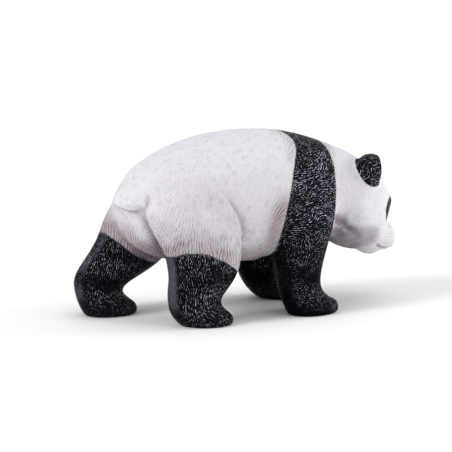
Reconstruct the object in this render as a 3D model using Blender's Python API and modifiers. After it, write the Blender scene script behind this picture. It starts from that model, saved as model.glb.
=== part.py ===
"""A giant panda figurine in mid stride, moulded in one piece of vinyl and then painted.

Metres, +Z up, +X towards the head and +Y to the figure's left. The origin lies on the ground,
under the middle of the figure's box.
"""

import math

import bmesh
import bpy
from mathutils import Euler, Matrix, Vector

# Driving size, from the rear heel to the muzzle. Every form below is given in hundredths of it,
# so the pose and the proportions stay as they are at another length. Places along the figure
# are measured from the right hind foot.
FIGURE_LENGTH = 0.095
UNIT = FIGURE_LENGTH / 100.0

# How finely the forms are joined into one skin, and how far the joins are softened.
SKIN_VOXEL = 0.55 * UNIT
SKIN_SMOOTH_STEPS = 10
SKIN_TRIANGLES = 9000

RING_SIDES = 12
# A subdivided ring lies inside its cage, so each cage is drawn this much larger.
CAGE_SWELL = 6.0 / (4.0 + 2.0 * math.cos(2.0 * math.pi / RING_SIDES))
CAGE_LEVELS = 2

VINYL_WHITE = (0.80, 0.78, 0.82, 1.0)
VINYL_ROUGHNESS = 0.55

# Trunk and neck, from the rump forwards: place along the length, top, underside, half width.
TRUNK = (
    (-18.8, 38.2, 26.6, 8.2),
    (-16.4, 41.8, 22.3, 13.0),
    (-10.8, 45.8, 18.5, 16.2),
    (-3.0, 49.6, 16.4, 17.8),
    (7.0, 52.5, 15.2, 18.5),
    (20.0, 53.3, 14.6, 18.8),
    (31.0, 52.5, 15.2, 17.8),
    (39.5, 50.4, 17.0, 15.8),
    (47.0, 47.7, 19.8, 14.2),
    (54.0, 45.0, 21.6, 13.6),
    (60.0, 41.4, 24.0, 11.6),
)
BELLY_SAG = 0.10

# The legs are stacks of level sections: height, place along, place across, half length,
# half width, and the foot's turn towards the figure's left in degrees.
RIGHT_HIND = (
    (42.0, 0.6, -6.0, 6.6, 4.8, 0),
    (37.0, -1.8, -9.3, 9.2, 7.3, 0),
    (29.5, -1.0, -11.6, 12.4, 8.1, 0),
    (22.0, 0.6, -12.8, 12.2, 7.8, 0),
    (17.0, 0.5, -13.0, 11.1, 7.0, 0),
    (12.9, -0.1, -13.0, 10.0, 6.8, 0),
    (9.6, -1.9, -13.0, 8.8, 6.5, -4),
    (6.9, -3.1, -13.0, 7.2, 6.3, -8),
    (4.6, -2.2, -13.0, 7.9, 6.5, -14),
    (2.6, -0.4, -13.0, 8.6, 6.8, -18),
    (0.8, 0.8, -13.2, 8.2, 6.6, -18),
    (-1.5, 1.6, -13.4, 6.8, 5.8, -18),
)
LEFT_HIND = (
    (42.0, 0.4, 6.0, 6.6, 4.8, 0),
    (37.0, -3.6, 9.3, 9.6, 7.3, 0),
    (29.5, -5.3, 11.6, 13.1, 8.1, 0),
    (22.5, -7.2, 12.8, 12.6, 7.8, 0),
    (17.5, -10.4, 13.0, 12.8, 7.2, 0),
    (13.4, -14.5, 13.0, 12.2, 6.9, 0),
    (10.4, -18.5, 13.0, 9.8, 6.6, 4),
    (7.3, -21.3, 13.0, 6.1, 6.3, 6),
    (4.6, -19.0, 13.0, 8.0, 6.5, 8),
    (2.6, -17.5, 13.0, 8.7, 6.7, 8),
    (0.8, -16.6, 13.0, 8.6, 6.5, 8),
    (-1.5, -16.2, 13.0, 7.2, 5.6, 8),
)
RIGHT_FORE = (
    (46.0, 36.6, -5.0, 8.0, 5.6, 0),
    (40.0, 36.0, -8.6, 9.8, 7.4, 0),
    (33.0, 34.8, -10.9, 10.0, 7.5, 0),
    (27.0, 33.2, -12.0, 9.4, 7.3, 0),
    (21.0, 31.6, -12.8, 8.6, 7.0, 0),
    (16.0, 30.8, -13.0, 7.6, 6.8, 0),
    (11.4, 30.6, -13.0, 6.7, 6.4, 0),
    (7.4, 30.9, -13.0, 6.2, 6.3, 6),
    (4.6, 33.2, -12.8, 7.5, 6.7, 14),
    (2.4, 35.4, -12.6, 9.0, 6.9, 18),
    (0.6, 36.0, -12.6, 8.8, 6.7, 18),
    (-1.5, 35.8, -12.6, 7.4, 5.8, 18),
)
LEFT_FORE = (
    (46.0, 36.6, 5.0, 8.0, 5.6, 0),
    (40.0, 36.0, 8.6, 9.8, 7.4, 0),
    (33.0, 34.8, 10.9, 10.0, 7.5, 0),
    (27.0, 33.4, 12.0, 9.4, 7.3, 0),
    (21.0, 32.6, 12.8, 8.8, 7.0, 0),
    (15.0, 32.2, 12.8, 8.2, 6.9, 0),
    (10.5, 32.8, 12.6, 8.0, 6.6, 0),
    (7.0, 34.4, 12.4, 8.4, 6.6, -6),
    (4.2, 36.8, 12.2, 9.0, 6.8, -14),
    (2.2, 39.0, 12.0, 9.4, 7.0, -18),
    (0.4, 40.6, 12.0, 9.0, 6.8, -18),
    (-1.5, 42.2, 12.0, 7.0, 5.8, -18),
)

LEGS = {
    "right_hind": RIGHT_HIND,
    "left_hind": LEFT_HIND,
    "right_fore": RIGHT_FORE,
    "left_fore": LEFT_FORE,
}
TOES = 5
TOE_SPREAD = 29
TOE_REACH = 0.73
TOE_HEIGHT = 1.9
TOE_HALF_SIZES = (3.0, 1.5, 2.2)

# The head's own axes start at the middle of the skull: +X to the muzzle, +Y to its left.
HEAD_CENTRE = (57.0, 0.0, 29.0)
HEAD_TURN = (0.0, 0.0, 7.0)


def clear_scene():
    for obj in list(bpy.data.objects):
        bpy.data.objects.remove(obj, do_unlink=True)


def collection(name):
    made = bpy.data.collections.new(name)
    bpy.context.scene.collection.children.link(made)
    return made


def paint(name, colour, roughness):
    made = bpy.data.materials.new(name)
    made.use_nodes = True
    shader = made.node_tree.nodes["Principled BSDF"]
    shader.inputs["Base Color"].default_value = colour
    shader.inputs["Roughness"].default_value = roughness
    shader.inputs["Metallic"].default_value = 0.0
    return made


def form_object(name, bm, levels=0):
    """A closed shape that is later joined to the others; a helper that isn't shown."""
    mesh = bpy.data.meshes.new(name)
    bmesh.ops.recalc_face_normals(bm, faces=bm.faces)
    bm.to_mesh(mesh)
    bm.free()
    obj = bpy.data.objects.new(name, mesh)
    FORMS.objects.link(obj)
    obj.hide_render = True
    obj.display_type = "WIRE"
    if levels:
        subdivide = obj.modifiers.new("round", "SUBSURF")
        subdivide.levels = levels
        subdivide.render_levels = levels
    return obj


def lofted(name, rings, shape=None):
    """A soft tube through rings, each a matrix that carries a unit circle to its place."""
    bm = bmesh.new()
    before = None
    for index, ring in enumerate(rings):
        made = bmesh.ops.create_circle(
            bm,
            cap_ends=index in (0, len(rings) - 1),
            radius=CAGE_SWELL,
            segments=RING_SIDES,
            matrix=ring,
        )
        if shape:
            shape(index, made["verts"])
        edges = list({edge for vert in made["verts"] for edge in vert.link_edges})
        if before:
            bmesh.ops.bridge_loops(bm, edges=before + edges)
        before = edges
    return form_object(name, bm, CAGE_LEVELS)


def trunk():
    """Upright sections along the body, with the belly a little wider than the back."""
    rings = []
    for x, top, bottom, half_width in TRUNK:
        stretch = Matrix.Diagonal((half_width * UNIT, (top - bottom) / 2 * UNIT, 1.0, 1.0))
        upright = Matrix(((0, 0, 1, 0), (1, 0, 0, 0), (0, 1, 0, 0), (0, 0, 0, 1)))
        place = Matrix.Translation(Vector((x, 0, (top + bottom) / 2)) * UNIT)
        rings.append(place @ upright @ stretch)

    def sag(index, verts):
        _, top, bottom, _ = TRUNK[index]
        for vert in verts:
            level = (2 * vert.co.z / UNIT - top - bottom) / (top - bottom)
            vert.co.y *= 1.0 - BELLY_SAG * level

    return lofted("trunk", rings, sag)


def leg(name, sections):
    rings = []
    for height, along, across, half_length, half_width, turn in sections:
        place = Matrix.Translation(Vector((along, across, height)) * UNIT)
        turned = Matrix.Rotation(math.radians(turn), 4, "Z")
        stretch = Matrix.Diagonal((half_length * UNIT, half_width * UNIT, 1.0, 1.0))
        rings.append(place @ turned @ stretch)
    return lofted(name, rings)


def ball(name, centre, half_sizes, turn=(0, 0, 0), parent=Matrix.Identity(4)):
    """A rounded lump: an ellipsoid in the parent's own axes, turned about its middle."""
    bm = bmesh.new()
    place = Matrix.Translation(Vector(centre) * UNIT)
    turned = Euler([math.radians(angle) for angle in turn]).to_matrix().to_4x4()
    stretch = Matrix.Diagonal([size * UNIT for size in half_sizes] + [1.0])
    bmesh.ops.create_uvsphere(
        bm, u_segments=32, v_segments=20, radius=1.0, matrix=parent @ place @ turned @ stretch
    )
    return form_object(name, bm)


def head_axes():
    place = Matrix.Translation(Vector(HEAD_CENTRE) * UNIT)
    turned = Euler([math.radians(angle) for angle in HEAD_TURN]).to_matrix().to_4x4()
    return place @ turned


def ear(side, word, axes):
    """A thick round cup, narrow where it grows from the head, hollow in front and outwards."""
    turn = (side * -14, 0, side * -30)
    lobe = ball(f"{word}_ear", (-1.6, side * 10.2, 11.5), (4.5, 4.5, 4.5), turn, axes)
    ball(f"{word}_ear_root", (-1.6, side * 9.2, 7.0), (3.0, 3.0, 3.6), turn, axes)
    hollow = ball(f"{word}_ear_hollow", (3.2, side * 12.9, 11.8), (3.8, 3.8, 3.9), turn, axes)
    FORMS.objects.unlink(hollow)
    CUTTERS.objects.link(hollow)
    cut = lobe.modifiers.new("hollow", "BOOLEAN")
    cut.operation = "DIFFERENCE"
    cut.object = hollow


def head():
    axes = head_axes()
    ball("skull", (-1.6, 0, 0.2), (12.0, 13.0, 12.5), parent=axes)
    ball("forehead", (1.7, 0, -1.2), (8.2, 9.2, 11.2), parent=axes)
    ball("lower_face", (2.6, 0, -6.2), (7.2, 9.8, 7.6), parent=axes)
    ball("bridge", (6.4, 0, -4.8), (4.8, 4.6, 3.6), (0, 30, 0), axes)
    ball("muzzle_root", (5.4, 0, -9.3), (6.8, 7.2, 6.0), (0, 6, 0), axes)
    ball("muzzle", (9.0, 0, -10.4), (5.5, 6.1, 5.0), (0, 4, 0), axes)
    ball("nose", (12.9, 0, -8.4), (1.6, 2.3, 1.5), (0, 10, 0), axes)
    ball("chin", (6.2, 0, -13.2), (4.0, 4.4, 3.0), parent=axes)
    ball("jaw", (-1.5, 0, -9.4), (9.8, 6.4, 4.2), (0, 15, 0), axes)
    for side, word in ((-1, "right"), (1, "left")):
        ball(f"{word}_cheek", (-4.0, side * 5.6, -2.2), (11.0, 8.2, 8.6), (0, 10, 0), axes)
        ball(f"{word}_brow", (5.0, side * 4.6, 0.6), (4.9, 4.9, 4.4), parent=axes)
        ball(f"{word}_lip", (11.6, side * 1.6, -10.8), (2.9, 3.3, 4.4), (0, -6, 0), axes)
        ear(side, word, axes)


def tail():
    """A broad short flap that lies on the rump, free at its lower edge."""
    ball("tail", (-16.8, -1.4, 34.9), (4.5, 8.0, 5.2), (0, 22, 0))


def toes():
    """Low knuckles round the front of each paw."""
    for name, sections in LEGS.items():
        _, along, across, half_length, half_width, turn = sections[-3]
        turned = Matrix.Rotation(math.radians(turn), 3, "Z")
        for index in range(TOES):
            angle = math.radians(TOE_SPREAD) * (index - (TOES - 1) / 2)
            reach = Vector((math.cos(angle) * half_length, math.sin(angle) * half_width, 0))
            centre = Vector((along, across, TOE_HEIGHT)) + turned @ (reach * TOE_REACH)
            heading = turn + math.degrees(angle) * 0.5
            ball(f"{name}_toe_{index + 1}", centre, TOE_HALF_SIZES, (0, 14, heading))


def skin():
    """All the forms as one surface, softened where they join and cut flat at the soles."""
    graph = bpy.context.evaluated_depsgraph_get()
    bm = bmesh.new()
    for obj in FORMS.objects:
        bm.from_object(obj, graph)
    mesh = bpy.data.meshes.new("panda")
    bm.to_mesh(mesh)
    bm.free()
    obj = bpy.data.objects.new("panda", mesh)
    FIGURE.objects.link(obj)

    join = obj.modifiers.new("join", "REMESH")
    join.mode = "VOXEL"
    join.voxel_size = SKIN_VOXEL
    join.use_smooth_shade = True
    soften = obj.modifiers.new("soften", "SMOOTH")
    soften.factor = 0.5
    soften.iterations = SKIN_SMOOTH_STEPS
    return obj


def thin_out(obj):
    """Keeps about SKIN_TRIANGLES of the joined skin's triangles."""
    graph = bpy.context.evaluated_depsgraph_get()
    fine = obj.evaluated_get(graph).to_mesh()
    fine.calc_loop_triangles()
    ratio = SKIN_TRIANGLES / len(fine.loop_triangles)
    obj.evaluated_get(graph).to_mesh_clear()
    thin = obj.modifiers.new("thin_out", "DECIMATE")
    thin.ratio = min(1.0, ratio)


def cut_soles(obj):
    """A block below the ground takes off all that hangs under it, which leaves flat soles."""
    bm = bmesh.new()
    size = Vector((1.5 * FIGURE_LENGTH, FIGURE_LENGTH, 0.2 * FIGURE_LENGTH))
    place = Matrix.Translation(Vector((0, 0, -size.z / 2)))
    bmesh.ops.create_cube(bm, size=1.0, matrix=place @ Matrix.Diagonal((*size, 1.0)))
    mesh = bpy.data.meshes.new("ground")
    bm.to_mesh(mesh)
    bm.free()
    ground = bpy.data.objects.new("ground", mesh)
    CUTTERS.objects.link(ground)
    ground.hide_render = True
    ground.display_type = "WIRE"
    cut = obj.modifiers.new("soles", "BOOLEAN")
    cut.operation = "DIFFERENCE"
    cut.object = ground


def centre(obj):
    """Puts the ground's origin under the middle of the finished figure's box."""
    graph = bpy.context.evaluated_depsgraph_get()
    corners = [Vector(corner) for corner in obj.evaluated_get(graph).bound_box]
    obj.location.x = -(min(c.x for c in corners) + max(c.x for c in corners)) / 2
    obj.location.y = -(min(c.y for c in corners) + max(c.y for c in corners)) / 2


clear_scene()
FIGURE = collection("Panda figurine")
FORMS = collection("Forms")
CUTTERS = collection("Cutters")

trunk()
for leg_name, leg_sections in LEGS.items():
    leg(f"{leg_name}_leg", leg_sections)
toes()
tail()
head()
panda = skin()
thin_out(panda)
cut_soles(panda)
centre(panda)
panda.data.materials.append(paint("painted_vinyl", VINYL_WHITE, VINYL_ROUGHNESS))
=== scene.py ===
import math

import bmesh
import bpy
import numpy as np
from mathutils import Matrix, Vector


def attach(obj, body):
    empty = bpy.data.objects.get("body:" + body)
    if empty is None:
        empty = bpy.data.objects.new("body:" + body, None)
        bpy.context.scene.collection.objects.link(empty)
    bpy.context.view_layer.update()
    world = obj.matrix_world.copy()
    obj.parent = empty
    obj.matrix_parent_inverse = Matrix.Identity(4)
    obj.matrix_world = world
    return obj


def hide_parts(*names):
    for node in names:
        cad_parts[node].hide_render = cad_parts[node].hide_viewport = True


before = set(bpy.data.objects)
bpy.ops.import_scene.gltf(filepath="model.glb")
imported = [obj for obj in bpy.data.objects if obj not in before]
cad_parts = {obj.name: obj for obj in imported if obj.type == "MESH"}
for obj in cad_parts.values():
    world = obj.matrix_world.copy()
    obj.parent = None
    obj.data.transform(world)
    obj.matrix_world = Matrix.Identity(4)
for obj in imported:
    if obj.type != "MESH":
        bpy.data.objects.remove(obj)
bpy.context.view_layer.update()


# The photograph's view: from 28 degrees behind the figure's right side and 9 degrees above it,
# through a long lens. Places on the figure are in hundredths of its length, and places along it
# are measured from the right hind foot.
UNIT = 0.00095
HIND_FOOT = Vector((-21.87 * UNIT, 0.0, 0.0))
CAMERA_PLACE = (-0.24811, -0.45297, 0.10508)
CAMERA_TURN = math.radians(-28.0)
CAMERA_TILT = math.radians(9.0)
CAMERA_LENS = 151.05
CAMERA_SENSOR = 36.0

towards_camera = Vector((
    math.sin(CAMERA_TURN) * math.cos(CAMERA_TILT),
    -math.cos(CAMERA_TURN) * math.cos(CAMERA_TILT),
    math.sin(CAMERA_TILT),
))
scene = bpy.context.scene
camera = bpy.data.objects.new("camera", bpy.data.cameras.new("camera"))
scene.collection.objects.link(camera)
camera.location = CAMERA_PLACE
camera.rotation_euler = towards_camera.to_track_quat("Z", "Y").to_euler()
camera.data.lens = CAMERA_LENS
camera.data.sensor_width = CAMERA_SENSOR
camera.data.clip_start = 0.01
scene.camera = camera


# The studio: a white table top that runs out of sight towards white walls, lit by a pale ceiling
# and by large soft lights behind, in front and above, as for a catalogue picture.
TABLE_HALF = 6.0
TABLE_WHITE = (0.97, 0.97, 0.97, 1.0)
TABLE_ROUGHNESS = 0.8
WALL_GLOW = 1.05
CEILING_GLOW = 0.62
WALL_TOP = 0.08
CEILING_START = 0.26
# Each light's name, where it shines from, its spread in degrees and its strength.
SOFT_LIGHTS = (
    ("key", (0.75, -1.0, 0.85), 10.0, 0.14),
    ("rear", (-1.0, -0.10, 0.70), 20.0, 1.40),
    ("overhead", (0.1, -0.1, 1.0), 40.0, 0.45),
    ("front", (1.0, -0.20, 0.25), 24.0, 1.05),
)

scene.view_settings.view_transform = "Standard"
world = bpy.data.worlds.new("studio")
world.use_nodes = True
room = world.node_tree
room.nodes["Background"].inputs["Color"].default_value = (1.0, 1.0, 1.0, 1.0)
outwards = room.nodes.new("ShaderNodeTexCoord")
height_seen = room.nodes.new("ShaderNodeSeparateXYZ")
glow = room.nodes.new("ShaderNodeMapRange")
glow.inputs["From Min"].default_value = WALL_TOP
glow.inputs["From Max"].default_value = CEILING_START
glow.inputs["To Min"].default_value = WALL_GLOW
glow.inputs["To Max"].default_value = CEILING_GLOW
room.links.new(outwards.outputs["Generated"], height_seen.inputs[0])
room.links.new(height_seen.outputs["Z"], glow.inputs["Value"])
room.links.new(glow.outputs[0], room.nodes["Background"].inputs["Strength"])
scene.world = world
for name, shines_from, spread, strength in SOFT_LIGHTS:
    lamp = bpy.data.lights.new(name, "SUN")
    lamp.angle = math.radians(spread)
    lamp.energy = strength
    light = bpy.data.objects.new(name, lamp)
    light.location = shines_from
    light.rotation_euler = Vector(shines_from).to_track_quat("Z", "Y").to_euler()
    scene.collection.objects.link(light)

table_mesh = bmesh.new()
bmesh.ops.create_grid(table_mesh, x_segments=1, y_segments=1, size=TABLE_HALF)
table_data = bpy.data.meshes.new("table_top")
table_mesh.to_mesh(table_data)
table_mesh.free()
table = bpy.data.objects.new("table_top", table_data)
scene.collection.objects.link(table)
table_finish = bpy.data.materials.new("table_white")
table_finish.use_nodes = True
table_shader = table_finish.node_tree.nodes["Principled BSDF"]
table_shader.inputs["Base Color"].default_value = TABLE_WHITE
table_shader.inputs["Roughness"].default_value = TABLE_ROUGHNESS
table.data.materials.append(table_finish)


# The figure itself: one moulding of soft vinyl, from a carved pattern. Its skin starts as the
# solid's own form, joined up finely and eased so that no facet shows, with twice as fine a
# mesh where the face is carved.
SKIN_STEP = 0.00046
SKIN_EASE = 12
HEAD = (57.0, 0.0, 29.0)
HEAD_TURN = math.radians(7.0)
head_axes = np.array(Matrix.Rotation(HEAD_TURN, 3, "Z"))
# Places on the head are given from its middle: forwards, to its left, and up. An egg-shaped
# stretch is given by its middle and its three radii.
FINE_FACE = ((10.0, 0.0, -6.0), (8.5, 12.0, 11.0))


def read_rows(mesh, name):
    """The mesh's points or normals as rows of three numbers."""
    flat = np.empty(len(mesh.vertices) * 3)
    mesh.vertices.foreach_get(name, flat)
    return flat.reshape(-1, 3)


def in_hundredths(rows):
    """Places in hundredths of the figure's length, measured from the right hind foot."""
    return (rows - np.array(HIND_FOOT)) / UNIT


def in_head(places):
    """The places as seen from the middle of the head."""
    return (places - HEAD) @ head_axes


def in_radii(places, middle, radii, squareness=2.0):
    """How far the places are from a middle: 1 on the egg with these radii, or on a squarer one."""
    return np.linalg.norm((places - np.array(middle)) / radii, ord=squareness, axis=1)


form = bmesh.new()
form.from_mesh(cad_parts["panda"].data)
bmesh.ops.remove_doubles(form, verts=form.verts, dist=1e-6)
form_data = bpy.data.meshes.new("panda_form")
form.to_mesh(form_data)
form.free()
blank = bpy.data.objects.new("panda_form", form_data)
scene.collection.objects.link(blank)
joined = blank.modifiers.new("joined", "REMESH")
joined.mode = "VOXEL"
joined.voxel_size = SKIN_STEP
eased = blank.modifiers.new("eased", "SMOOTH")
eased.factor = 0.5
eased.iterations = SKIN_EASE
skin = bpy.data.meshes.new_from_object(blank.evaluated_get(bpy.context.evaluated_depsgraph_get()))
skin.name = "panda_figure"
bpy.data.objects.remove(blank)

in_fine_face = in_radii(in_head(in_hundredths(read_rows(skin, "co"))), *FINE_FACE) < 1.0
fine_skin = bmesh.new()
fine_skin.from_mesh(skin)
face_edges = [e for e in fine_skin.edges if all(in_fine_face[v.index] for v in e.verts)]
bmesh.ops.subdivide_edges(fine_skin, edges=face_edges, cuts=1, use_grid_fill=True)
fine_skin.to_mesh(skin)
fine_skin.free()
figure = bpy.data.objects.new("panda_figure", skin)
scene.collection.objects.link(figure)


# The carving of the head that the solid is too coarse for: mouth, nose, nostrils and eye sockets,
# cut into the pattern with fine tools, with the chin drawn in, the hollows before the cheeks filled
# and the right cheek folded. The skin is moved inwards by the sum of these depths further on.
MOUTH = ((4.9, 5.4, -12.2), (7.0, 4.9, -13.9), (9.6, 4.2, -14.9), (12.2, 2.6, -14.9), (13.6, 0.5, -13.8))
PHILTRUM = ((15.0, 0.0, -10.2), (14.6, 0.0, -11.8), (13.8, 0.0, -13.3))
NOSTRIL = (15.2, 1.1, -8.9)
NOSTRIL_RADII = (1.0, 1.2, 0.8)
NOSE = ((14.4, 0.0, -9.1), (2.1, 2.2, 1.5))
NOSE_PROUD = 0.35
EYE = (9.5, 4.9, 0.7)
EYE_RADIUS = 1.2
SOCKET_RADII = (1.0, 1.25, 0.95)
CHIN_IN = 1.3
CHEEK_HOLLOW = (2.2, 9.6, -9.4)
CHEEK_FOLD = ((41.6, -13.8, 27.0), (44.0, -13.2, 25.0), (47.5, -12.4, 23.0), (51.3, -11.2, 20.9))
# Each cut's or filling's half width and depth.
MOUTH_CUT = (0.42, 0.55)
PHILTRUM_CUT = (0.33, 0.40)
NOSTRIL_CUT = (0.50, 0.75)
NOSE_CUT = (0.10, 0.22)
SOCKET_CUT = (0.95 * EYE_RADIUS, 0.90)
EYELID_RIDGE = (0.45, 0.28)
CHEEK_FILL = (3.0, 1.0)
CHEEK_FOLD_CUT = (1.4, 0.45)
# Painted shade along the mouth and philtrum grooves: each dark line's half width and strength.
MOUTH_SHADE = (0.45, 0.8)
PHILTRUM_SHADE = (0.35, 0.7)


def rise(value, low, high):
    """0 below low and 1 above high, with a soft step between."""
    share = np.clip((value - low) / (high - low), 0.0, 1.0)
    return share * share * (3.0 - 2.0 * share)


def fade(value, low, high):
    """1 below low and 0 above high, with a soft step between."""
    return 1.0 - rise(value, low, high)


def near_path(places, points):
    """How far each place is from a path through the points."""
    nearest = np.full(len(places), 1e6)
    for start, end in zip(points, points[1:]):
        line = np.array(end) - np.array(start)
        share = np.clip(((places - start) @ line) / (line @ line), 0.0, 1.0)
        nearest = np.minimum(nearest, np.linalg.norm(places - start - share[:, None] * line, axis=1))
    return nearest


def on_skin(places, spots):
    """For each spot, the nearest of the places."""
    return [places[np.argmin(np.linalg.norm(places - spot, axis=1))] for spot in spots]


def between(points, count):
    """The same path with more points on it."""
    steps = np.linspace(0.0, len(points) - 1.0, count)
    return np.stack([np.interp(steps, range(len(points)), column) for column in np.transpose(points)], axis=1)


def dent(gap, width, depth):
    """The depth of a soft groove or hollow at this distance from its middle."""
    return depth * np.exp(-((gap / width) ** 2))


places = in_hundredths(read_rows(skin, "co"))
normals = read_rows(skin, "normal")
along, across, up = places.T
face = in_head(places)
inwards = np.zeros(len(places))
# Painted shade that darkens the carved mouth and philtrum grooves, gathered here.
face_groove_shade = np.zeros(len(places))
eye_spots = []
for side in (-1, 1):
    mirror = np.array((1.0, side, 1.0))
    off_mouth = near_path(face, on_skin(face, between(MOUTH, 24) * mirror))
    inwards += dent(off_mouth, *MOUTH_CUT)
    face_groove_shade += dent(off_mouth, *MOUTH_SHADE)
    nostril = on_skin(face, [NOSTRIL * mirror])[0]
    inwards += dent(in_radii(face, nostril, NOSTRIL_RADII), *NOSTRIL_CUT)
    eye_spot = on_skin(face, [EYE * mirror])[0]
    eye_spots.append(eye_spot)
    off_eye = in_radii(face, eye_spot, SOCKET_RADII)
    inwards += dent(off_eye, *SOCKET_CUT) - dent(off_eye - 1.25 * EYE_RADIUS, *EYELID_RIDGE)
    inwards -= dent(np.linalg.norm(face - CHEEK_HOLLOW * mirror, axis=1), *CHEEK_FILL)
off_philtrum = near_path(face, on_skin(face, between(PHILTRUM, 8)))
inwards += dent(off_philtrum, *PHILTRUM_CUT)
face_groove_shade += dent(off_philtrum, *PHILTRUM_SHADE)
off_nose = in_radii(face, *NOSE)
inwards += dent(off_nose - 1.12, *NOSE_CUT) - NOSE_PROUD * fade(off_nose, 0.75, 1.05)
inwards += CHIN_IN * rise(face[:, 0], 7.5, 10.5) * rise(-face[:, 2], 14.9, 16.0)
inwards += dent(near_path(places, on_skin(places, between(CHEEK_FOLD, 12))), *CHEEK_FOLD_CUT)


# The carving of the body: the short flat tail stands out over the rump, each haunch over the
# flank in front of it, and the near haunch over the inner thigh behind it. Four grooves part the
# toes of each paw. The left hind leg lies further back, in mid stride.
TAIL = (-16.8, -2.0, 35.4)
TAIL_HALVES = (5.2, 8.9, 4.6)
TAIL_TILT = math.radians(22.0)
TAIL_SQUARENESS = 2.4
LEFT_RUMP_IN = 0.7
LEFT_LEG_BACK = 7.0
# Creases as pairs: the haunch's front edge as place along and height, its rear edge as place
# across and height.
HAUNCH_FRONT = ((10.8, 19.5), (11.0, 25.2), (8.7, 30.9), (5.6, 36.0), (3.4, 38.6))
HAUNCH_REAR = (
    (-6.6, 18.5), (-8.8, 20.9), (-10.7, 24.3), (-11.4, 27.1), (-10.9, 30.1), (-9.6, 32.8), (-9.2, 38.0),
)
# Each step's depth, how far the skin takes to come back, and the width of its edge.
TAIL_STEP = (1.1, 0.22, 0.05)
FRONT_STEP = (1.1, 2.6, 0.8)
REAR_STEP = (1.5, 2.4, 0.7)
FRONT_ROLL = (1.4, 0.30)
# Each paw's middle and the way that it points, in degrees.
PAWS = (((0.8, -13.2), -18.0), ((-16.6, 13.0), 8.0), ((36.0, -12.6), 18.0), ((40.6, 12.0), -18.0))
TOE_GAPS = (-43.5, -14.5, 14.5, 43.5)
TOE_CUT = (0.38, 0.55)
DEEPEST = 1.6


def step_down(gap, depth, reach, edge):
    """A skin that lies deeper beyond an edge and comes back to its level over this reach."""
    return depth * np.where(gap > 0.0, np.exp(-gap / reach), np.exp(-((gap / edge) ** 2)))


def at_height(pairs, height):
    """The first number of a row of pairs, read off at a height."""
    values, heights = zip(*pairs)
    return np.interp(height, heights, values)


off_tail = (places - TAIL) @ np.array(Matrix.Rotation(TAIL_TILT, 3, "Y"))
tail_gap = in_radii(off_tail, (0.0, 0.0, 0.0), TAIL_HALVES, TAIL_SQUARENESS) - 1.0
on_rump = rise(-along, 12.0, 15.0)
inwards += step_down(tail_gap, *TAIL_STEP) * on_rump * fade(up, 36.5, 39.5)
left_rump = rise(across, -3.0, 4.0) * fade(across, 9.0, 13.0)
inwards += LEFT_RUMP_IN * on_rump * left_rump * rise(up, 28.0, 32.0) * fade(up, 39.0, 44.0)

for side, back in ((-1, 0.0), (1, LEFT_LEG_BACK)):
    ahead = along + back - at_height(HAUNCH_FRONT, up)
    flank = rise(side * across, 8.0, 12.0) * rise(up, 15.0, 19.0) * fade(up, 33.0, 41.0)
    inwards += flank * (step_down(ahead, *FRONT_STEP) - dent(ahead + 1.8, *FRONT_ROLL))
inner = across - at_height(HAUNCH_REAR, up)
near_thigh = rise(-along, 6.0, 10.0) * rise(up, 17.5, 20.0) * fade(up, 32.5, 37.0) * (across < -3.0)
inwards += near_thigh * step_down(inner, *REAR_STEP)

for paw_middle, paw_turn in PAWS:
    from_paw = places[:, :2] - paw_middle
    bearing = np.degrees(np.arctan2(from_paw[:, 1], from_paw[:, 0])) - paw_turn
    reach = np.linalg.norm(from_paw, axis=1)
    on_toes = rise(reach, 4.6, 6.2) * fade(reach, 11.0, 12.5) * fade(up, 3.4, 4.8)
    for gap_bearing in TOE_GAPS:
        inwards += on_toes * dent(np.radians(bearing - gap_bearing) * reach, *TOE_CUT)

inwards = np.minimum(inwards, DEEPEST)
creased = rise(inwards, 0.45, 1.4)
places = places - normals * inwards[:, None]
places[:, 2] = np.maximum(places[:, 2], 0.0)
skin.vertices.foreach_set("co", (places * UNIT + np.array(HIND_FOOT)).ravel())
skin.update()


# The paint lies in broad zones, sprayed through masks: black legs, a band over the shoulders that
# runs on into the forelegs and the chest, ears, patches and nose. Each zone is kept as the
# distance to its edge, above 0 inside, so that the finish can draw the edge as finely as fur.
# Pairs of height and place along for the band, and of place along and height for the legs.
BAND_REAR = (
    (0.0, 19.0), (14.0, 22.0), (19.4, 22.9), (25.7, 23.0), (31.5, 23.9), (37.0, 25.6), (41.0, 27.1),
    (44.8, 29.2), (47.3, 31.0), (49.6, 32.0), (51.0, 31.6), (51.8, 30.8), (52.4, 29.8), (53.0, 28.8),
)
BAND_FRONT = (
    (0.0, 60.0), (10.0, 60.0), (14.0, 50.0), (20.0, 45.0), (24.0, 41.6), (28.6, 41.0), (32.9, 41.3),
    (39.7, 42.5), (42.4, 43.3), (47.3, 43.7), (51.0, 43.0),
)
NEAR_HIND_TOP = (
    (-14.0, 19.0), (-11.0, 20.2), (-8.0, 21.4), (-5.0, 21.5), (-2.0, 21.0), (1.0, 19.6), (4.0, 18.2),
    (8.0, 15.6), (12.0, 12.0),
)
FAR_HIND_TOP = ((-24.0, 26.0), (-19.3, 23.9), (-16.2, 21.2), (-12.4, 17.9), (-7.7, 15.6), (-2.0, 14.0))
HIND_FRONT = 19.0
CHEST = (21.0, 60.0)
CHEST_TOP = 17.0
WHITE_HEAD = ((3.0, 0.0, -2.0), (16.5, 16.5, 17.0))
EAR = (-1.6, 10.3, 11.3)
EAR_RADII = (5.2, 5.2, 5.4)
PATCH_INNER = (9.2, 5.3, 0.6)
PATCH_OUTER = (6.0, 9.6, -1.5)
PATCH_RADII = (2.4, 3.5)
OUTSIDE = -9.0


def follow(pairs, value):
    """The second number of a row of pairs, read off at a value of the first."""
    keys, values = zip(*pairs)
    return np.interp(value, keys, values)


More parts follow.
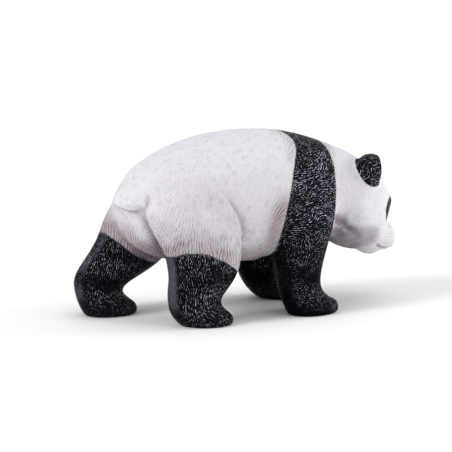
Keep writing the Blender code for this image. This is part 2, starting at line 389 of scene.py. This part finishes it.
normals = read_rows(skin, "normal")
along, across, up = places.T
facing_along = normals[:, 0]
facing_up = normals[:, 2]
face = in_head(places)
in_face = fade(in_radii(face, *WHITE_HEAD), 0.9, 1.1)
band = np.minimum(along - follow(BAND_REAR, up), follow(BAND_FRONT, up) - along)
chest = np.where(up < CHEST_TOP, np.minimum(along - CHEST[0], CHEST[1] - along), OUTSIDE)
band = np.where(in_face > 0.5, OUTSIDE, np.maximum(band, chest))
far_share = rise(across, -9.0, -5.0)
hind_top = follow(NEAR_HIND_TOP, along) * (1.0 - far_share) + follow(FAR_HIND_TOP, along) * far_share
hind = np.minimum(hind_top - up, HIND_FRONT - along)
ears = np.full(len(places), OUTSIDE)
patches = np.full(len(places), OUTSIDE)
for side in (-1, 1):
    mirror = np.array((1.0, side, 1.0))
    ears = np.maximum(ears, 14.0 * (1.0 - in_radii(face, EAR * mirror, EAR_RADII)))
    inner_end = PATCH_INNER * mirror
    line = PATCH_OUTER * mirror - inner_end
    share = np.clip(((face - inner_end) @ line) / (line @ line), 0.0, 1.0)
    gap = np.linalg.norm(face - inner_end - share[:, None] * line, axis=1)
    half_width = PATCH_RADII[0] + (PATCH_RADII[1] - PATCH_RADII[0]) * share
    patches = np.maximum(patches, 2.2 * (half_width - gap))
nose = 6.0 * (1.05 - off_nose)
black = np.maximum.reduce([band, hind, ears, patches, nose])


# Over the white goes a thin beige wash, wiped off again so that it stays in the furrows above the legs,
# along the band and on the nape, and beige on the lower belly, darker towards the bottom. Over it lies
# painted shade in grey-violet: on the flanks and hips, below the tail, under the cheeks, between the
# legs, on the far haunch, behind the band, in the carved creases and along the mouth and philtrum.
HIPS = (((0.0, -12.0, 24.0), (12.0, 12.0, 16.0)), ((-6.0, 12.0, 24.0), (13.0, 12.0, 16.0)))

# Beige wash behind the band's lower rear edge; a quarter of it is also laid on as painted shade.
band_wash_and_shade = dent(band + 2.0, 3.2, 1.0) * fade(up, 30.0, 40.0) * (along < 34.0)
nape_wash = dent(band + 1.0, 2.4, 1.0) * rise(up, 42.5, 47.0)
# The white on the lower belly turns beige towards the bottom.
low_belly_beige = fade(up, 17.0, 23.0) * (1.0 - in_face)
# Painted shade on the far haunch, low and towards the rear, laid on in the beige and the grey-violet.
far_haunch_shade = rise(across, 2.0, 6.0) * fade(up, 24.0, 33.0) * fade(along, -4.0, 4.0)
# The beige: wash above the legs, behind the band and on the nape, the lower belly, and painted shade.
wash_and_shade = rise(hind, -8.0, -0.5) + band_wash_and_shade + 0.9 * low_belly_beige + 0.7 * nape_wash + 0.2 * far_haunch_shade
wash_and_shade = np.clip(wash_and_shade, 0.0, 1.0)

hips = np.maximum.reduce([fade(in_radii(places, *hip), 0.7, 1.3) for hip in HIPS])
# Painted shade under the cheeks, on skin that faces downwards, less on the muzzle.
under_cheek = rise(-facing_up, 0.15, 0.6) * rise(along, 38.0, 43.0)
under_cheek = under_cheek * (1.0 - 0.9 * rise(face[:, 0], -3.0, 4.0))
# Painted shade between the legs, under the rump.
crotch = rise(across, -12.0, -8.0) * fade(across, 6.0, 12.0)
crotch = crotch * rise(along, -17.0, -9.0) * fade(up, 20.0, 30.0) * (along < 8.0)
# Painted shade: the flanks and hips a little darker, and more low down below the tail.
side_shade = 0.10 * rise(np.abs(across), 8.0, 12.0) * fade(up, 40.0, 47.0) * (black < 0.0)
side_shade = side_shade + 0.10 * hips + 0.20 * fade(up, 28.0, 34.0) * fade(along, -8.0, 0.0)
# All the painted shade together, including the carved creases and the mouth and philtrum grooves.
shade = side_shade * (1.0 - in_face) + 0.9 * under_cheek + 0.75 * crotch + 0.2 * far_haunch_shade
shade = shade + 0.25 * band_wash_and_shade + 0.5 * creased * (up < 45.0) + face_groove_shade
shade = np.clip(shade, 0.0, 1.0)


# The fur is carved in short strokes that lie away from the nose, back and down over the body,
# straight down the haunches and legs, and forwards over the feet. It swirls a little everywhere,
# and more where it is black. It is cut deepest low down, on the hips and on the black.
NOSE_TIP = (17.0, 0.0, -8.0)
BODY_FLOW = (-0.62, 0.0, -0.78)
HIP_FLOW = (0.08, 0.0, -1.0)
LEG_FLOW = (0.0, 0.0, -1.0)
FOOT_FLOW = (0.9, 0.0, -0.6)


def drift(places, size, seed):
    """A smooth wandering value, mostly within 1 of zero, that changes over this size."""
    rng = np.random.default_rng(seed)
    waves = rng.normal(size=(16, 3)) * (2.2 / size)
    phases = rng.uniform(0.0, 2.0 * math.pi, 16)
    return np.sin(places @ waves.T + phases).sum(axis=1) / 4.0


def blend_flow(flow, other, share):
    """The flow turned towards another by this share."""
    return flow * (1.0 - share[:, None]) + np.array(other) * share[:, None]


def lay_flat(vectors, normals):
    """The vectors turned into the skin's surface, each of length 1."""
    flat = vectors - (vectors * normals).sum(axis=1)[:, None] * normals
    return flat / np.maximum(np.linalg.norm(flat, axis=1), 1e-6)[:, None]


from_nose = face - NOSE_TIP
from_nose /= np.linalg.norm(from_nose, axis=1)[:, None]
flow = np.zeros_like(places) + BODY_FLOW
flow = blend_flow(flow, HIP_FLOW, hips)
flow = blend_flow(flow, LEG_FLOW, fade(up, 14.0, 24.0))
flow = blend_flow(flow, FOOT_FLOW, fade(up, 4.0, 9.0))
flow = blend_flow(flow, from_nose @ head_axes.T, in_face)
flow = lay_flat(flow, normals)
sideways = np.cross(normals, flow)
black_swirl = rise(black, -1.0, 2.0) * rise(along, 15.0, 22.0)
swing = 0.28 * drift(places, 9.0, 3) + 0.85 * black_swirl * drift(places, 4.5, 4)
across_fur = np.cross(normals, flow * np.cos(swing)[:, None] + sideways * np.sin(swing)[:, None])

smooth_back = rise(-facing_along, 0.45, 0.85) * (up < 24.0)
smooth_nose = rise(nose, -0.5, 0.5)
relief = 0.75 + 0.35 * hips + 0.45 * fade(up, 22.0, 32.0) + 1.2 * rise(black, -0.5, 0.5)
relief = np.clip(relief - 0.25 * in_face * (black < 0.0), 0.12, 1.8)
relief = relief * (1.0 - 0.7 * smooth_back * (black > 0.0)) * (1.0 - 0.9 * smooth_nose)


# Last, painted glints: grey laid over the crests of the black fur stands for light caught by the glossy
# fur, most on the shoulders and the sides, little on the forefeet, none on the nose and the patches.
# The backs of the hind legs are smoother and get a broad painted sheen, a painted highlight.
SHEEN_FACES = (-0.99, -0.11)

# Where the painted glints go, and how strong they are.
on_hind_legs = fade(along, 10.0, 16.0) * (1.0 - 0.5 * rise(across, 0.0, 8.0))
painted_glints = 0.05 + 0.93 * rise(up, 8.0, 41.0) + 0.30 * rise(facing_up, -0.3, 0.3)
painted_glints = painted_glints - 0.60 * rise(facing_up, 0.50, 0.95) + 0.28 * drift(places, 6.0, 9)
painted_glints = painted_glints * (1.0 - 0.6 * in_face * (ears < 0.0)) * (1.0 - smooth_nose)
painted_glints = (painted_glints + 0.34 * on_hind_legs) * (1.0 - 0.75 * smooth_back)
painted_glints = painted_glints * fade(patches, -0.5, 0.5)
painted_glints = painted_glints * (1.0 - 0.6 * rise(-facing_along, 0.5, 0.9) * rise(along, 15.0, 20.0))
painted_glints = np.clip(painted_glints, 0.0, 1.2)

# Painted sheen: a broad painted highlight down the backs of the hind legs, facing one way.
level = normals[:, :2] / np.maximum(np.linalg.norm(normals[:, :2], axis=1), 0.3)[:, None]
painted_sheen = rise(level @ SHEEN_FACES, 0.84, 0.98) * fade(along, 8.0, 12.0) * rise(up, 3.0, 8.0) * (black > 0.0)
painted_sheen = painted_sheen * np.clip(0.65 + 0.5 * drift(places, 4.0, 11), 0.0, 1.0)


# The figure's finish: vinyl moulded in a cool white, with the paint, washes, painted shade, painted glints
# and carved fur laid out above. The values worked out for each point of the skin are kept on it, for the
# finish.
WHITE = (0.735, 0.708, 0.76, 1.0)
PALE = (0.80, 0.785, 0.825, 1.0)
# Painted shade: a grey-violet darkening of the white in the furrows between the carved fur strokes.
FURROW_SHADE = (0.56, 0.53, 0.59, 1.0)
BEIGE = (0.25, 0.175, 0.175, 1.0)
# The grey-violet of the painted shade.
SHADE = (0.19, 0.15, 0.18, 1.0)
DUST = (0.62, 0.60, 0.62, 1.0)
BLACK = (0.002, 0.002, 0.0035, 1.0)
# Painted glints on the black fur: a dull blue-grey over the ridges and a bright grey on the crests.
DULL_GLINT = (0.021, 0.021, 0.032, 1.0)
BRIGHT_GLINT = (0.66, 0.66, 0.79, 1.0)
# The lighter grey of the painted sheen.
SHEEN_GREY = (0.062, 0.058, 0.080, 1.0)
PALE_FACE = 0.8
FURROW_SHADE_SHARE = 0.36
DUST_SHARE = 0.03
# The fur's strokes to a metre, waves to a stroke and straightness, each for white and for black.
FUR_SCALES = (710.0, 1220.0)
FUR_WAVES = (1.8, 1.55)
FUR_STRAIGHTNESS = (1.0, 0.82)
FUR_CHANGE = 0.1
# How many specks, flecks and clouds there are to a metre, more or less.
GRAIN_SCALE = 2600.0
FLECK_SCALE = 1500.0
CLOUD_SCALE = 140.0
FUR_HEIGHT = 0.0005
GRAIN_SHARE = 0.10
WHITE_ROUGHNESS = 0.46
BLACK_ROUGHNESS = 0.15
GRAIN_ROUGHNESS = 0.08
SPECULAR = 0.008
# Where the white ends and the full black begins, once fur and grain are added to the distance.
EDGE = (0.85, 1.20)

kept_values = {
    "across_fur": across_fur,
    "relief": relief,
    "black": black,
    "wash_and_shade": wash_and_shade,
    "shade": shade,
    "pale": PALE_FACE * in_face,
    "painted_glints": painted_glints,
    "painted_sheen": painted_sheen,
}
for name, values in kept_values.items():
    kind, field = ("FLOAT_VECTOR", "vector") if values.ndim == 2 else ("FLOAT", "value")
    skin.attributes.new(name, kind, "POINT").data.foreach_set(field, values.astype(np.float32).ravel())

finish = bpy.data.materials.new("painted_vinyl")
finish.use_nodes = True
tree = finish.node_tree
shader = tree.nodes["Principled BSDF"]


def node(kind, settings, inputs):
    """A new node of this kind, each input, by name or place, set to a value or linked to an output."""
    made = tree.nodes.new("ShaderNode" + kind)
    for name, value in settings.items():
        setattr(made, name, value)
    for key, value in inputs.items():
        if isinstance(value, bpy.types.NodeSocket):
            tree.links.new(value, made.inputs[key])
        else:
            made.inputs[key].default_value = value
    return made


def stored(name, output="Fac"):
    """A value kept on the piece."""
    return node("Attribute", {"attribute_name": name}, {}).outputs[output]


def noise(scale, detail):
    """A cloudy pattern that stays on the piece."""
    return node("TexNoise", {}, {"Vector": spot, "Scale": scale, "Detail": detail}).outputs["Fac"]


def maths(operation, *values):
    """One step of arithmetic on numbers or outputs."""
    return node("Math", {"operation": operation}, dict(enumerate(values))).outputs[0]


def ranged(value, low, high, to_low=0.0, to_high=1.0, steps="LINEAR"):
    """The value carried from one range to another, and kept inside it."""
    settings = {"interpolation_type": steps}
    return node("MapRange", settings, {0: value, 1: low, 2: high, 3: to_low, 4: to_high}).outputs[0]


def mixed(share, first, second):
    """Two colours mixed by a share."""
    return node("Mix", {"data_type": "RGBA"}, {0: share, 6: first, 7: second}).outputs[2]


spot = node("TexCoord", {}, {}).outputs["Object"]
is_black = stored("black")
fur = node("TexGabor", {"gabor_type": "3D"}, {
    "Vector": spot,
    "Scale": ranged(is_black, -FUR_CHANGE, FUR_CHANGE, *FUR_SCALES),
    "Frequency": ranged(is_black, -FUR_CHANGE, FUR_CHANGE, *FUR_WAVES),
    "Anisotropy": ranged(is_black, -FUR_CHANGE, FUR_CHANGE, *FUR_STRAIGHTNESS),
})
orientation = [socket for socket in fur.inputs if socket.identifier == "Orientation 3D"][0]
tree.links.new(stored("across_fur", "Vector"), orientation)
ridge = fur.outputs["Value"]
furrow = maths("SUBTRACT", 1.0, ridge)
grain = noise(GRAIN_SCALE, 2.0)
cloud = noise(CLOUD_SCALE, 3.0)
fringe = maths("MULTIPLY_ADD", ridge, 1.3, maths("MULTIPLY_ADD", grain, 0.7, is_black))
ink = ranged(fringe, *EDGE, steps="SMOOTHSTEP")

wash_and_shade_share = maths("MULTIPLY", stored("wash_and_shade"), ranged(cloud, 0.35, 0.65, 0.65, 1.2))
wash_and_shade_share = maths("MULTIPLY", wash_and_shade_share, ranged(furrow, 0.38, 0.62, 0.12, 1.0))
# Painted shade, thinner where the cloud is light.
shade_share = maths("MULTIPLY", stored("shade"), ranged(cloud, 0.3, 0.6, 0.6, 1.0))
# Painted shade in the fur's furrows.
coat = mixed(maths("MULTIPLY", furrow, FURROW_SHADE_SHARE), WHITE, FURROW_SHADE)
coat = mixed(stored("pale"), coat, PALE)
coat = mixed(wash_and_shade_share, coat, BEIGE)
coat = mixed(shade_share, coat, SHADE)
coat = mixed(ranged(cloud, 0.35, 0.75, 0.0, DUST_SHARE), coat, DUST)

# Painted glints and painted sheen laid over the black paint.
crest = ranged(ridge, 0.54, 0.70, steps="SMOOTHSTEP")
fleck = ranged(noise(FLECK_SCALE, 2.0), 0.38, 0.56, steps="SMOOTHSTEP")
glint_mask = stored("painted_glints")
dull_glint_share = maths("MULTIPLY", ranged(ridge, 0.44, 0.66), glint_mask)
bright_glint_share = maths("MULTIPLY", maths("MULTIPLY", crest, fleck), glint_mask)
black_paint = mixed(dull_glint_share, BLACK, DULL_GLINT)
black_paint = mixed(stored("painted_sheen"), black_paint, SHEEN_GREY)
black_paint = mixed(bright_glint_share, black_paint, BRIGHT_GLINT)
tree.links.new(mixed(ink, coat, black_paint), shader.inputs["Base Color"])

rough = ranged(ink, 0.0, 1.0, WHITE_ROUGHNESS, BLACK_ROUGHNESS)
tree.links.new(maths("MULTIPLY_ADD", grain, GRAIN_ROUGHNESS, rough), shader.inputs["Roughness"])
shader.inputs["Specular IOR Level"].default_value = SPECULAR
height = maths("MULTIPLY_ADD", ridge, stored("relief"), maths("MULTIPLY", grain, GRAIN_SHARE))
bump = node("Bump", {}, {"Strength": 1.0, "Distance": FUR_HEIGHT, "Height": height})
tree.links.new(bump.outputs[0], shader.inputs["Normal"])
skin.materials.clear()
skin.materials.append(finish)
skin.polygons.foreach_set("use_smooth", [True] * len(skin.polygons))
skin.update()
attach(figure, "root")
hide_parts("panda")


# The eyes: small domes in the sockets that the painter leaves glossy, dark brown with a black
# middle and a soft, specked edge between the two.
EYE_BROWN = (0.030, 0.013, 0.006, 1.0)
EYE_BLACK = (0.002, 0.002, 0.002, 1.0)
EYE_SUNK = 0.55 * EYE_RADIUS
EYE_ROUGHNESS = 0.06
EYE_SPECULAR = 0.18
EYE_GLOSS = 0.12
EYE_GLOSS_ROUGHNESS = 0.03
IRIS_EDGE = (0.50, 0.62)
SPECK_SCALE = 2500.0
SPECK_SHARE = 0.12

eye_finish = bpy.data.materials.new("eye_gloss")
eye_finish.use_nodes = True
tree = eye_finish.node_tree
shader = tree.nodes["Principled BSDF"]
spot = node("TexCoord", {}, {}).outputs["Object"]
iris = maths("MULTIPLY_ADD", noise(SPECK_SCALE, 2.0), SPECK_SHARE, stored("from_pupil"))
tree.links.new(mixed(ranged(iris, *IRIS_EDGE), EYE_BLACK, EYE_BROWN), shader.inputs["Base Color"])
shader.inputs["Roughness"].default_value = EYE_ROUGHNESS
shader.inputs["Specular IOR Level"].default_value = EYE_SPECULAR
shader.inputs["Coat Weight"].default_value = EYE_GLOSS
shader.inputs["Coat Roughness"].default_value = EYE_GLOSS_ROUGHNESS

head_to_scene = Matrix.Translation(HIND_FOOT) @ Matrix.Scale(UNIT, 4)
head_to_scene = head_to_scene @ Matrix.Translation(HEAD) @ Matrix.Rotation(HEAD_TURN, 4, "Z")
for word, eye_spot in zip(("right", "left"), eye_spots):
    outward = eye_spot / np.linalg.norm(eye_spot)
    middle = eye_spot - outward * EYE_SUNK
    ball = bmesh.new()
    bmesh.ops.create_uvsphere(ball, u_segments=32, v_segments=20, radius=EYE_RADIUS)
    turned = Vector(outward).to_track_quat("Z", "Y").to_matrix().to_4x4()
    placed = head_to_scene @ Matrix.Translation(Vector(middle)) @ turned
    bmesh.ops.transform(ball, matrix=placed, verts=ball.verts)
    eye_mesh = bpy.data.meshes.new(word + "_eye")
    ball.to_mesh(eye_mesh)
    ball.free()
    in_eye = (in_head(in_hundredths(read_rows(eye_mesh, "co"))) - middle) / EYE_RADIUS
    from_pupil = np.linalg.norm(np.cross(in_eye, outward), axis=1).astype(np.float32)
    eye_mesh.attributes.new("from_pupil", "FLOAT", "POINT").data.foreach_set("value", from_pupil)
    eye_mesh.polygons.foreach_set("use_smooth", [True] * len(eye_mesh.polygons))
    eye_mesh.materials.append(eye_finish)
    eye = bpy.data.objects.new(word + "_eye", eye_mesh)
    scene.collection.objects.link(eye)
    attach(eye, "root")
